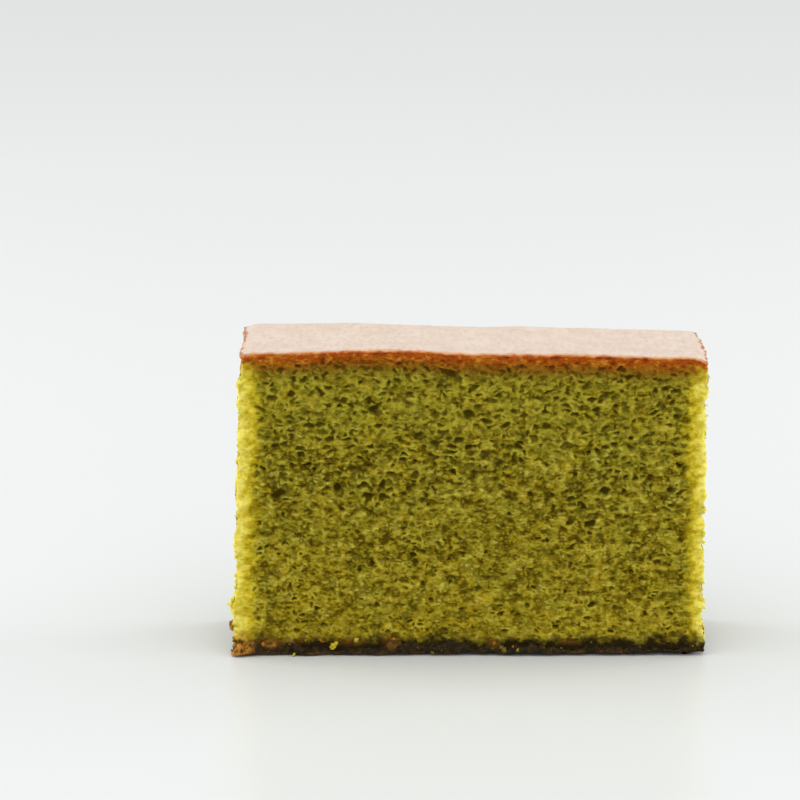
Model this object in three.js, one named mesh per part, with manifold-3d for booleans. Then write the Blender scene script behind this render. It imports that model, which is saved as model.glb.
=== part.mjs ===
// One cut slice of green tea castella, a Japanese sponge cake baked in a wooden frame.
// It stands on its sticky dark base. The two large faces and the two ends are knife cuts
// through open crumb, and a thin browned skin covers the top.
// X runs along the slice's width, Y through its thickness, Z up. Millimetres.
import * as THREE from "three";
import { mergeVertices } from "three/addons/utils/BufferGeometryUtils.js";
import Module from "manifold-3d";

// Driving dimensions
const WIDTH = 100; // the trimmed loaf, end to end, measured at the skin
const THICKNESS = 27; // one of ten cuts of a 270 mm loaf
const HEIGHT = 67; // table to skin
const SKIN = 0.9; // browned skin, which stands a little proud of the crumb
const BASE = 3.2; // dark, sugary bottom layer

// How the soft cake departs from a plain block
const LEFT_SPREAD = 1.1; // the left end leans out towards its foot
const RIGHT_WAIST = 0.6; // the right end draws in at mid-height
const FACE_HOLLOW = 0.15; // the cut faces sink between skin and base
const SKIN_LIP = 0.15; // how far the skin stands out
const BASE_LIP = 0.3; // how far the sticky base stands out
const CROWN = 0.8; // the skin's rise
const CROWN_SHIFT = -24; // where it is highest, left of the middle
const CORNER_DROP = 0.6; // the skin's ends, rounded off
const CORNER_RUN = 4.5; // over this far from each end
const RAGGED = 0.3; // unevenness of the cut faces
const RIPPLE = 0.22; // unevenness of the skin

// The block's grid
const COLUMNS = 30; // along X
const LAYERS = 8; // along Y
const ROWS = 18; // along Z, between skin and base
const LUMP = 5.5; // size of one lump of the unevenness

// Open pores, largest and closest together near the top
const PORE_SEED = 20;
const PORES_PER_CM2 = 0.8;
const PORE_HALF_WIDTH = [0.9, 2.1];
const PORE_FLATNESS = 0.68; // height over width
const PORE_DEPTH = 0.8; // depth over half width
const PORE_SHRINK = 0.35; // how much smaller pores are at the foot
const PORE_MARGIN = 4; // kept clear of skin, base and corners
const PORE_SPACING = 5; // least distance between two middles

const smooth = (from, to, value) => THREE.MathUtils.smoothstep(value, from, to);

// Repeatable random numbers from 0 to 1
function randomFrom(seed) {
  let state = seed;
  return () => {
    state = (state + 0x6d2b79f5) | 0;
    let mixed = Math.imul(state ^ (state >>> 15), 1 | state);
    mixed = (mixed + Math.imul(mixed ^ (mixed >>> 7), 61 | mixed)) ^ mixed;
    return ((mixed ^ (mixed >>> 14)) >>> 0) / 4294967296;
  };
}

// A value from -1 to 1 for each whole-numbered lattice point
function latticeValue(i, j, k) {
  const wave = Math.sin(i * 127.1 + j * 311.7 + k * 74.7) * 43758.5453;
  return 2 * (wave - Math.floor(wave)) - 1;
}

// Smooth lumps: lattice values blended between the eight corners round a point
function lumps(x, y, z) {
  const cell = [x, y, z].map((v) => Math.floor(v / LUMP));
  const ease = [x, y, z].map((v, axis) => smooth(0, 1, v / LUMP - cell[axis]));
  let sum = 0;
  for (const [a, b, c] of [0, 1, 2, 3, 4, 5, 6, 7].map((n) => [n & 1, (n >> 1) & 1, n >> 2])) {
    const share =
      (a ? ease[0] : 1 - ease[0]) * (b ? ease[1] : 1 - ease[1]) * (c ? ease[2] : 1 - ease[2]);
    sum += share * latticeValue(cell[0] + a, cell[1] + b, cell[2] + c);
  }
  return sum;
}

// Heights of the grid's rows: close together through base and skin, even between
function rowHeights() {
  const low = [0, 0.3 * BASE, 0.75 * BASE, BASE];
  const high = [HEIGHT - 3 * SKIN, HEIGHT - SKIN, HEIGHT - 0.45 * SKIN, HEIGHT];
  const between = Array.from({ length: ROWS }, (_, n) =>
    THREE.MathUtils.lerp(BASE, high[0], (n + 1) / (ROWS + 1)),
  );
  return [...low, ...between, ...high];
}

// How far the outside stands proud at a height: base and skin as lips, crumb hollow between
function proud(z) {
  const base = BASE_LIP * (1 - smooth(0.7 * BASE, 1.25 * BASE, z));
  const skin = SKIN_LIP * smooth(HEIGHT - 2 * SKIN, HEIGHT - SKIN, z);
  const hollow = FACE_HOLLOW * Math.sin((Math.PI * z) / HEIGHT);
  return base + skin - hollow;
}

// Where the ends of the slice lie at a height
const leftEnd = (z) => -WIDTH / 2 - LEFT_SPREAD * (1 - (z / HEIGHT) ** 1.6);
const rightEnd = (z) => WIDTH / 2 - RIGHT_WAIST * Math.sin((Math.PI * z) / HEIGHT);

// The skin's height over a point: a low crown, ends rounded off and a slight ripple
function skinHeight(x, y) {
  const crown = CROWN * Math.cos((Math.PI * (x - CROWN_SHIFT)) / (1.5 * WIDTH));
  const fromEnd = WIDTH / 2 - Math.abs(x);
  const drop = CORNER_DROP * (1 - smooth(0, CORNER_RUN, fromEnd)) ** 2;
  return crown - CROWN - drop + RIPPLE * lumps(x * 0.5, y * 0.5, 0);
}

// Moves a point of the unit block to its place on the cake
function placeOnCake(block, rows) {
  const level = rows[Math.round((block.z + 0.5) * (rows.length - 1))];
  const x0 = THREE.MathUtils.lerp(leftEnd(level), rightEnd(level), block.x + 0.5);
  const y0 = block.y * THICKNESS;
  const rise = skinHeight(x0, y0) * (level / HEIGHT) ** 2;
  const rough = RAGGED * smooth(0, BASE, level);
  const outX = Math.sign(block.x) * smooth(0.42, 0.5, Math.abs(block.x));
  const outY = Math.sign(block.y) * smooth(0.3, 0.5, Math.abs(block.y));
  return new THREE.Vector3(
    x0 + outX * (proud(level) + rough * lumps(y0 + 40, level, x0)),
    y0 + outY * (proud(level) + rough * lumps(x0, level, y0 + 90)),
    level + rise,
  );
}

// The whole slice before its pores are opened
function cakeBlock() {
  const rows = rowHeights();
  const block = new THREE.BoxGeometry(1, 1, 1, COLUMNS, LAYERS, rows.length - 1);
  // BoxGeometry's own X, Y and Z are the slice's X, Y and Z
  const position = block.getAttribute("position");
  const point = new THREE.Vector3();
  for (let n = 0; n < position.count; n++) {
    point.fromBufferAttribute(position, n);
    position.setXYZ(n, ...placeOnCake(point, rows).toArray());
  }
  return block;
}

// Pore centres on one cut face, as [along, height, half width]: by a seeded draw that
// keeps them apart, opens more of them near the top and makes those larger
function poresOn(length, random) {
  const wanted = Math.round((PORES_PER_CM2 * length * HEIGHT) / 100);
  const span = HEIGHT - BASE - 2 * PORE_MARGIN;
  const found = [];
  for (let tries = 0; tries < 60 * wanted && found.length < wanted; tries++) {
    const along = (random() - 0.5) * (length - 2 * PORE_MARGIN);
    const share = random() ** 0.7;
    const height = BASE + PORE_MARGIN + share * span;
    const apart = found.every(([a, h]) => Math.hypot(a - along, h - height) > PORE_SPACING);
    if (!apart) continue;
    const size = THREE.MathUtils.lerp(...PORE_HALF_WIDTH, random() ** 1.8);
    found.push([along, height, size * (1 - PORE_SHRINK * (1 - share))]);
  }
  return found;
}

// One pore: a flattened bubble, turned a little, its middle on the cut
function bubble(halfWidth, alongX, centre, tilt) {
  const round = new THREE.OctahedronGeometry(1, 1);
  const depth = halfWidth * PORE_DEPTH;
  const height = halfWidth * PORE_FLATNESS;
  round.scale(alongX ? halfWidth : depth, alongX ? depth : halfWidth, height);
  if (alongX) round.rotateY(tilt);
  else round.rotateX(tilt);
  round.translate(...centre);
  return round;
}

// All pores of the two large faces and the two ends
function allPores() {
  const random = randomFrom(PORE_SEED);
  const tilt = () => (random() - 0.5) * 0.8;
  const made = [];
  for (const side of [-1, 1]) {
    for (const [along, height, size] of poresOn(WIDTH, random)) {
      const cut = side * (THICKNESS / 2 + proud(height));
      made.push(bubble(size, true, [along, cut, height], tilt()));
    }
    for (const [along, height, size] of poresOn(THICKNESS, random)) {
      const end = side < 0 ? leftEnd(height) : rightEnd(height);
      made.push(bubble(size, false, [end + side * proud(height), along, height], tilt()));
    }
  }
  return made;
}

const wasm = await Module();
wasm.setup();

// A closed geometry as a solid
function solidFrom(geometry) {
  const bare = geometry.clone();
  bare.deleteAttribute("normal");
  bare.deleteAttribute("uv");
  const merged = mergeVertices(bare, 1e-4);
  return new wasm.Manifold(
    new wasm.Mesh({
      numProp: 3,
      vertProperties: merged.getAttribute("position").array,
      triVerts: new Uint32Array(merged.index.array),
    }),
  );
}

// A solid as a geometry with one normal for each facet
function geometryFrom(solid) {
  const mesh = solid.getMesh();
  const indexed = new THREE.BufferGeometry();
  indexed.setAttribute("position", new THREE.BufferAttribute(mesh.vertProperties, 3));
  indexed.setIndex(new THREE.BufferAttribute(mesh.triVerts, 1));
  const facets = indexed.toNonIndexed();
  facets.computeVertexNormals();
  return facets;
}

// The slice's own frame: the middle of its bounding box over X and Y, and the table at Z 0
function centred(geometry) {
  geometry.computeBoundingBox();
  const { min, max } = geometry.boundingBox;
  return geometry.translate(-(min.x + max.x) / 2, -(min.y + max.y) / 2, -min.z);
}

const crumb = new THREE.MeshStandardMaterial({ color: 0x837a22, roughness: 0.95, metalness: 0 });
const opened = solidFrom(cakeBlock()).subtract(
  wasm.Manifold.union(allPores().map((pore) => solidFrom(pore))),
);

const slice = new THREE.Mesh(centred(geometryFrom(opened)), crumb);
slice.name = "castella_slice";

const castella = new THREE.Group();
castella.name = "green_tea_castella";
castella.add(slice);
export default castella;
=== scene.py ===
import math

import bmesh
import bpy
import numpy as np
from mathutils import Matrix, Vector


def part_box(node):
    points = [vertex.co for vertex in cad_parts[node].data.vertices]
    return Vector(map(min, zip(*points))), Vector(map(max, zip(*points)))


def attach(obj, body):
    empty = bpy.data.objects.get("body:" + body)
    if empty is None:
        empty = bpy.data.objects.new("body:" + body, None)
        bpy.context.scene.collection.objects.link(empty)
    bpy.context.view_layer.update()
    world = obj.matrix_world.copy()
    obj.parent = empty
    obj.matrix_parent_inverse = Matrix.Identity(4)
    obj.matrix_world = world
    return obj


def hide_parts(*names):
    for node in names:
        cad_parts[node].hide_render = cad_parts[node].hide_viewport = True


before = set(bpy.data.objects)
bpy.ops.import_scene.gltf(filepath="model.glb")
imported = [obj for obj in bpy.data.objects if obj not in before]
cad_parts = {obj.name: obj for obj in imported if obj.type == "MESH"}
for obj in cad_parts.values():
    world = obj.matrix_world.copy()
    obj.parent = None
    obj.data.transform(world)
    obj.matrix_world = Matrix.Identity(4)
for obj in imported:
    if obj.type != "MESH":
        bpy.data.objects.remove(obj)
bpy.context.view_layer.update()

# A cut slice of green tea castella, standing on its dark base, dressed for the studio.
# X runs along the slice's width, Y through its thickness away from the camera, Z up.
# Shapes are worked out in millimetres and written into the meshes in metres.
#
#   sponge       the crumb: four cut walls full of open bubbles, one closed body
#   top_skin     the browned skin, with its ragged edge over the cut walls
#   dark_base    the sticky, nearly black bottom
#   sugar_lumps  caramel-coloured lumps of burnt sugar on the base
#   loose_crumbs crumbs that cling to the corners and to the base

MM = 0.001
NODE = "castella_slice"
node_low, node_high = (np.array(corner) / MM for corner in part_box(NODE))

# ---- driving sizes, mm
LIP = 0.4  # skin and base stand this far out over the cut faces
WIDTH = node_high[0] - node_low[0]
HEIGHT = node_high[2]
FRONT = node_low[1] + LIP
BACK = node_high[1] - LIP
THICK = BACK - FRONT
LEFT_FOOT = node_low[0] + 0.15  # X of the left end at the floor
RIGHT_TOP = node_high[0] - 0.95  # X of the right end at the skin

LEAN = 1.75  # the left end leans out towards its foot
WAIST = 0.45  # the right end draws in round its middle
CROWN = 0.95  # the skin's rise
CROWN_LOW = 1.5  # the crown's cosine is nought this far below the top of the box
CROWN_SHIFT = -24  # where the crown is highest, left of the middle
SKIN = 0.55  # thickness of the browned skin at its edge
SKIN_LIP = 0.04  # how far the skin stands over the cut walls
CRUMB_IN = 0.08  # and how far the crumb under it stays inside its edge
BASE = 2.35  # height of the dark base, which wanders
CORNER = 0.2  # how much the upright corners are rubbed off
TURN = 0.9  # over this far from a corner a wall's way out turns
CRUMB_FOOT = 1.2  # the crumb starts here, inside the base
UNDER_SKIN = 0.3  # and ends this far below the skin's face
TUCK = 1.5  # the hidden last rows of crumb and skin turn in by this much

CORNER_CRUMBS = 340
FOOT_CRUMBS = 40
SUGAR_LUMPS = 14
HEAP_LUMPS = 5

FRONT_STEP = 0.26  # mesh spacing along each wall
END_STEP = 0.32
BACK_STEP = 0.38
UP_STEP = 0.26
SKIN_STEP = 0.27
BASE_STEP = 0.25
SPONGE_TRIANGLES = 196_000

# the base from the floor up: share of its height, and how far out from the wall
BASE_PROFILE = (
    (0, -4.5), (0, -2.2), (0.07, -0.5), (0.15, 0.0), (0.24, 0.2), (0.34, 0.26), (0.44, 0.26),
    (0.54, 0.22), (0.64, 0.14), (0.74, 0.06), (0.84, -0.06), (0.94, -0.2), (1.02, -0.4), (1.0, -2.4),
)
# the skin's edge from its face down: share of its thickness, and how far out
SKIN_PROFILE = ((0.12, 0.05), (0.3, 0.08), (0.5, 0.05), (0.75, 0.0), (1.0, -0.12), (1.05, -TUCK))
FACE_RIM = 0.14  # how deep into the browning the rim of the skin's face counts

# caramel smears at the foot of the front: x, z, half width, half height, and how light
SMEARS = (
    (-49.4, 2.0, 3.2, 3.2, 1.0), (-43.2, 3.0, 3.4, 1.3, 0.5), (-37.0, 3.4, 2.2, 0.7, 0.3),
    (-25.6, 3.2, 3.4, 1.2, 0.4), (-17.2, 3.7, 2.3, 2.0, 0.15), (5.0, 2.8, 1.6, 1.2, 0.5),
    (21.0, 3.2, 2.6, 0.9, 0.2),
)
# single crumbs and sugar lumps on the front: x, distance behind the front, z, and size
KNOWN_CRUMBS = (
    (-29.6, -0.5, 2.3, 0.8), (-28.9, -0.4, 2.9, 0.5), (-38.0, -0.6, 0.4, 0.42),
    (10.0, -0.5, 1.3, 0.45), (-50.9, 0.9, 11.2, 0.9), (-50.9, 0.8, 12.4, 0.8),
)
KNOWN_LUMPS = (
    (-31.8, 0.1, 3.5, 0.6), (-51.1, 0.6, 7.0, 0.7), (-51.2, 0.6, 6.0, 0.5),
    (-16.4, 0.1, 3.8, 0.4), (5.1, 0.0, 2.9, 0.55), (-44.5, -0.1, 2.6, 0.45),
)


# ---- numbers
def ease(low, high, value):
    """0 up to low, 1 from high on, a smooth step between. With low above high, it falls."""
    share = np.clip((value - low) / (high - low), 0, 1)
    return share * share * (3 - 2 * share)


def draw(i, j, k, seed):
    """A number from 0 to 1 for each whole-numbered place (i, j, k), the same on every run.
    The three numbers and the seed are multiplied by large odd numbers and mixed."""
    keys = (i.astype(np.uint32), j.astype(np.uint32), k.astype(np.uint32))
    mixed = keys[0] * np.uint32(0x9E3779B1) ^ keys[1] * np.uint32(0x85EBCA77)
    mixed = mixed ^ keys[2] * np.uint32(0xC2B2AE3D) ^ np.uint32((seed * 0x27D4EB2F) % 2**32)
    for shift, odd in ((15, 0x2C1B3C6D), (12, 0x297A2D39)):
        mixed = (mixed ^ (mixed >> np.uint32(shift))) * np.uint32(odd)
    return ((mixed ^ (mixed >> np.uint32(15))) & np.uint32(0xFFFFFF)) / float(0x1000000)


def lumps(x, y, z, size, seed):
    """Smooth unevenness from -1 to 1. Each point of a cubic lattice, size apart, has its own
    height, and the eight round a place are blended by their distance to it."""
    x, y, z = np.broadcast_arrays(x, y, z)
    cell = [np.floor(axis / size).astype(np.int64) for axis in (x, y, z)]
    part = [ease(0, 1, axis / size - whole) for axis, whole in zip((x, y, z), cell)]
    total = np.zeros(x.shape)
    for corner in np.ndindex(2, 2, 2):
        share = np.ones(x.shape)
        for step, value in zip(corner, part):
            share = share * (value if step else 1 - value)
        total += share * draw(*(whole + step for whole, step in zip(cell, corner)), seed)
    return 2 * total - 1


def rough(x, y, z, size, seed, octaves=3):
    """Lumps on lumps: each further layer is half as large and half as high."""
    total = sum(lumps(x, y, z, size / 2**n, seed + 17 * n) / 2**n for n in range(octaves))
    return total / (2 - 0.5 ** (octaves - 1))


def layered(x, y, z, *layers):
    """Lumps of several sizes on one another. Each layer is its height, size and seed."""
    return sum(height * lumps(x, y, z, size, seed) for height, size, seed in layers)


# ---- the slice's own forms
def left_end(z):
    """X of the left end: in from its foot by the lean times the height's share to the power
    1.3, so that it is a little steeper low down."""
    return LEFT_FOOT + LEAN * np.clip(z / HEIGHT, 0, 1) ** 1.3


def right_end(z):
    """X of the right end: drawn in by the waist times a squared sine of the height."""
    return RIGHT_TOP - WAIST * np.sin(np.pi * np.clip(z / HEIGHT, 0, 1)) ** 2


def cut_wave(x, y, z):
    """How far a cut face swells out at a point: slow waves that the knife has left, in mm."""
    return layered(x, y, z, (0.25, 19, 37), (0.06, 7, 38))


def skin_edge(x, y):
    """How far the skin's edge wanders out at the two ends, and along the two cut faces: lumps
    of two sizes, set 0.2 mm further in at the ends. The right end also draws in by up to
    0.7 mm towards the back."""
    ends = layered(x, y, 0, (0.25, 2.6, 51), (0.3, 1.0, 50)) - 0.2
    ends = ends - 0.7 * ease(8, 27, y - FRONT) * (x > 0)
    return ends, layered(x, y, 0, (0.2, 2.6, 52), (0.08, 0.9, 49))


def skin_top(x, y):
    """Z of the skin: a low crown, which is a stretch of a cosine, with the left half a little
    higher and the two diagonals turned against each other. Towards the front it swells left
    of the middle and sinks on the right. Both ends drop off by a square, and a slow ripple
    of two sizes of lumps runs over it all."""
    crown = HEIGHT - CROWN_LOW + CROWN * np.cos(np.pi * (x - CROWN_SHIFT) / 150) + 0.4 * ease(5, -35, x)
    tilt = -0.25 * (x / 50) * (y / 13.5)
    front = ease(20, 0, y - FRONT)
    wave = front * (0.4 * np.exp(-((x + 18) / 12) ** 2) - 0.4 * ease(22, 45, x))
    drop_left = 0.6 * (1 - ease(0, 4.0, x - left_end(HEIGHT))) ** 2
    drop_right = (0.35 + 0.65 * front) * (1 - ease(0, 4.2, RIGHT_TOP - x)) ** 2
    ripple = layered(x, y, 0, (0.2, 13, 3), (0.1, 5, 4))
    return crown + tilt + wave - drop_left - drop_right + ripple


def smeared(x, y, z):
    """How strongly the foot is smeared with caramel and how light that is, from 0 to 1: one
    soft spot for each of SMEARS on the front, and slow patches on the other three walls."""
    spots, lights = np.zeros((2, *np.broadcast(x, y, z).shape))
    for middle, height, half_width, half_height, light in SMEARS:
        away = np.hypot((x - middle) / half_width, (z - height) / half_height)
        spot = ease(1.3, 0.4, away + 0.35 * lumps(x, y, z, 1.3, 81))
        lights = np.where(spot > spots, light, lights)
        spots = np.maximum(spots, spot)
    front = ease(5, 2, y - FRONT)
    patches = ease(0.3, 0.6, lumps(x / 2, y / 2, z, 2.6, 82)) * ease(5, 3, z)
    return spots * front + patches * (1 - front), lights * front + 0.3 * (1 - front)


def cells_near(along, up, around, cell, tall, seed, count):
    """The nine cells of a lattice round each point: each one's place (i, j), its width, and
    its own numbers from 0 to 1. The lattice closes on itself after a length `around`, so
    that no seam shows where the walls meet."""
    cells_round = round(around / cell)
    wide = around / cells_round
    column = np.floor(along / wide).astype(np.int64)
    row = np.floor(up / tall).astype(np.int64)
    for left, below in np.ndindex(3, 3):
        i, j = column + left - 1, row + below - 1
        own = [draw(i % cells_round, j + 64, np.full_like(i, n), seed) for n in range(count)]
        yield i, j, wide, own


def bubbles(along, up, around, seed, cell, share, half_width, depth):
    """How deep lone bubbles are that a knife has cut open: in mm, and as a share of painted
    shade.

    Each cell of a lattice may hold one bubble: a flattened ball with its own middle, half
    width, flatness, tilt and distance from the cut. A ball of half width 1 whose middle
    lies h inside the cut reaches h + sqrt(1 - r * r) at r from its middle, out to
    r * r = 1 - h * h, where the knife leaves a sharp edge. The share goes softly to 0
    there. It is larger for a bubble that lies deep, and in the upper half of each, where the
    painted shade stands for the bubble's shadow. High up, more cells hold a bubble, and the
    bubbles are larger."""
    deepest, darkest = np.zeros(along.shape), np.zeros(along.shape)
    for i, j, wide, own in cells_near(along, up, around, cell, cell, seed, 7):
        middle_along, middle_up = (i + own[0]) * wide, (j + own[1]) * cell
        coarse = 0.5 + 0.6 * ease(14, 50, middle_up)
        kept = own[2] < share * coarse
        size = (half_width[0] + (half_width[1] - half_width[0]) * own[3] ** 2) * coarse
        flat = 0.6 + 0.35 * own[4]
        tilt = (own[5] - 0.5) * 0.7
        inside = 0.9 * own[6] - 0.35
        away, rise = along - middle_along, up - middle_up
        long_way = (away * np.cos(tilt) + rise * np.sin(tilt)) / size
        short_way = (rise * np.cos(tilt) - away * np.sin(tilt)) / (size * flat)
        square = long_way**2 + short_way**2
        cut = kept & (square < 1 - inside**2)
        reach = np.where(cut, inside + np.sqrt(np.clip(1 - square, 0, None)), 0)
        deepest = np.maximum(deepest, reach * size * depth)
        soft = np.clip(1 - inside**2 - square, 0, 1) ** 0.75 * (0.85 + 0.6 * inside)
        # painted shade, larger in each bubble's upper half, which lies in shadow
        darkest = np.maximum(darkest, kept * np.clip(soft * (1 + 0.4 * short_way), 0, 1))
    return deepest, darkest


def foam(along, up, around, seed, cell, depth):
    """Close-packed bubbles that a knife has cut open: their depth in mm, the depth as a share,
    which the material paints as shade, and how far from the walls between them a point is,
    from 0 to 1.

    Each cell of a lattice holds one flattened bubble. A point belongs to the bubble that is
    nearest, counted in that bubble's own half widths. The wall between two bubbles is where
    the two nearest are equally near, and the depth rises from nought at the wall, or at the
    bubble's own rim, to the bubble's own depth in its middle. The painted shade is larger in
    the upper half of each bubble, which lies in shadow."""
    tall = cell * 0.75
    nearest, second = np.full((2, *along.shape), 9.0)
    own_share, own_size, own_rise = np.zeros((3, *along.shape))
    for i, j, wide, own in cells_near(along, up, around, cell, tall, seed, 5):
        size = 0.6 + 0.75 * own[2] ** 1.5
        flat = 0.5 + 0.4 * own[3]
        away = (along - (i + 0.12 + 0.76 * own[0]) * wide) / (size * cell)
        rise = (up - (j + 0.12 + 0.76 * own[1]) * tall) / (size * cell * flat)
        reach = np.hypot(away, rise)
        closer = reach < nearest
        second = np.where(closer, nearest, np.minimum(second, reach))
        own_share = np.where(closer, 0.3 + 0.7 * own[4], own_share)
        own_size = np.where(closer, size, own_size)
        own_rise = np.where(closer, rise, own_rise)
        nearest = np.where(closer, reach, nearest)
    inside = ease(0.1, 0.62, second - nearest) * ease(1.05, 0.4, nearest)
    shade = np.clip(own_share * inside * (0.9 + 0.45 * own_rise), 0, 1)
    return depth * cell * own_size * own_share * inside, shade, inside


# ---- meshes
def new_object(name, data):
    """An object at the origin, unturned, in the scene."""
    thing = bpy.data.objects.new(name, data)
    bpy.context.scene.collection.objects.link(thing)
    return thing


def new_piece(name, points, quads, rings):
    """A mesh from points in mm, an array of quads, and its other faces as rings of numbers."""
    mesh = bpy.data.meshes.new(name)
    corners = np.concatenate([quads.ravel(), *rings]).astype(np.int32)
    sizes = np.array([4] * len(quads) + [len(ring) for ring in rings])
    starts = np.concatenate([[0], np.cumsum(sizes)[:-1]]).astype(np.int32)
    mesh.vertices.add(len(points))
    mesh.vertices.foreach_set("co", (points * MM).astype(np.float32).ravel())
    mesh.loops.add(len(corners))
    mesh.loops.foreach_set("vertex_index", corners)
    mesh.polygons.add(len(sizes))
    mesh.polygons.foreach_set("loop_start", starts)
    mesh.polygons.foreach_set("use_smooth", np.ones(len(sizes), dtype=bool))
    mesh.update(calc_edges=True)
    mesh.validate()
    return new_object(name, mesh)


def wall_piece(name, points):
    """A wall that closes on itself, from its points as rows from the foot up, each once
    round, with one flat cap below and one above."""
    rows, columns = points.shape[:2]
    here = np.arange(columns)
    after = (here + 1) % columns
    level = np.arange(rows - 1)[:, None] * columns
    corners = (level + here, level + after, level + columns + after, level + columns + here)
    quads = np.stack(corners, axis=-1).reshape(-1, 4)
    return new_piece(name, points.reshape(-1, 3), quads, (here[::-1], here + (rows - 1) * columns))


def set_values(piece, **values):
    """Writes numbers for the material to read, one for each point, or one for them all."""
    count = len(piece.data.vertices)
    for name, numbers in values.items():
        layer = piece.data.attributes.new(name, "FLOAT", "POINT")
        each = np.broadcast_to(np.ravel(numbers), count)
        layer.data.foreach_set("value", np.array(each, dtype=np.float32))


def thin_out(piece, triangles):
    """Collapses the flattest parts of a wall piece until about this many triangles are left.
    Its last two faces are the caps, and each of the others counts as two triangles."""
    faces = piece.data.polygons
    now = sum(len(cap.vertices) - 2 for cap in faces[-2:]) + 2 * (len(faces) - 2)
    modifier = piece.modifiers.new("thin_out", "DECIMATE")
    modifier.ratio = triangles / now
    ready = piece.evaluated_get(bpy.context.evaluated_depsgraph_get())
    full = piece.data
    piece.data = bpy.data.meshes.new_from_object(ready)
    piece.modifiers.clear()
    bpy.data.meshes.remove(full)
    piece.data.name = piece.name


def read_out(items, name, width, kind):
    """One row of numbers for each of a mesh's points, corners or faces."""
    numbers = np.empty(len(items) * width, dtype=kind)
    items.foreach_get(name, numbers)
    return numbers.reshape(-1, width)


def unfold(piece, places, atlas, reach):
    """Lays every face flat on one side of the piece's box, as a UV map.

    The sides are front, right, back, left, under and over. A face goes to the wall for
    which facing minus distance / 4 mm is largest, or under or over if it lies flat within
    reach of there. Each place gives a side's corner in the atlas, in mm, and its scale."""
    mesh = piece.data
    points = read_out(mesh.vertices, "co", 3, np.float32) / MM
    normals = read_out(mesh.polygons, "normal", 3, np.float32)
    centres = read_out(mesh.polygons, "center", 3, np.float32) / MM
    totals = read_out(mesh.polygons, "loop_total", 1, np.int32).ravel()
    corners = read_out(mesh.loops, "vertex_index", 1, np.int32).ravel()
    low, high = points.min(axis=0), points.max(axis=0)

    from_low, from_high = centres - low, high - centres
    facing = (-normals[:, 1], normals[:, 0], normals[:, 1], -normals[:, 0])
    away = (from_low[:, 1], from_high[:, 0], from_high[:, 1], from_low[:, 0])
    best = np.argmax(np.stack(facing) - np.stack(away) / 4, axis=0)
    best[(normals[:, 2] < -0.75) & (from_low[:, 2] < reach[0])] = 4
    best[(normals[:, 2] > 0.75) & (from_high[:, 2] < reach[1])] = 5
    side = np.repeat(best, totals)
    near, far = (points[corners] - low).T, (high - points[corners]).T
    along = np.choose(side, [near[0], near[1], far[0], far[1], near[0], near[0]])
    up = np.choose(side, [near[2], near[2], near[2], near[2], far[1], near[1]])
    place = np.array(places)[side]
    flat = (place[:, :2] + np.stack([along, up], axis=-1) * place[:, 2:]) / atlas
    layer = mesh.uv_layers.new(name="OFBake")
    layer.data.foreach_set("uv", flat.astype(np.float32).ravel())


def walls(front_step, end_step, back_step):
    """The way round the slice from its front left corner, along the front first.
    For each point: its shares of the width and of the thickness, the direction straight
    out of its wall, blended round the corners, and the distance from the start in mm."""
    runs = ((WIDTH, front_step), (THICK, end_step), (WIDTH, back_step), (THICK, end_step))
    corners = np.array([[0, 0], [1, 0], [1, 1], [0, 1], [0, 0]])
    straight_out = np.array([[0, -1], [1, 0], [0, 1], [-1, 0]])
    shares, outs, distances, start = [], [], [], 0.0
    for side, (length, step) in enumerate(runs):
        part = np.arange(round(length / step)) / round(length / step)
        here, after = corners[side], corners[side + 1]
        shares.append(here + part[:, None] * (after - here))
        before_share = (1 - ease(0, TURN, part * length)) * 0.5
        after_share = ease(length - TURN, length, part * length) * 0.5
        out = straight_out[side] * (1 - before_share - after_share)[:, None]
        out = out + straight_out[side - 1] * before_share[:, None]
        out = out + straight_out[(side + 1) % 4] * after_share[:, None]
        outs.append(out / np.linalg.norm(out, axis=1)[:, None])
        distances.append(start + part * length)
        start += length
    return np.concatenate(shares), np.concatenate(outs), np.concatenate(distances), start


def plain_wall(share, z):
    """X and Y on the plain walls, from each point's shares of the width and the thickness."""
    x = left_end(z) + share[:, 0] * (right_end(z) - left_end(z))
    return x, np.broadcast_to(FRONT + share[:, 1] * THICK, x.shape)


def moved_out(x, y, z, out, by):
    """The points after a move straight out of their walls."""
    return np.stack([x + out[:, 0] * by, y + out[:, 1] * by, z], axis=-1)


def corner_distance(distance, around):
    """How far each point is from the nearest upright corner, in mm along the wall."""
    at = np.array([0, WIDTH, WIDTH + THICK, 2 * WIDTH + THICK, around])
    return np.abs(distance[:, None] - at).min(axis=1)


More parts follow.
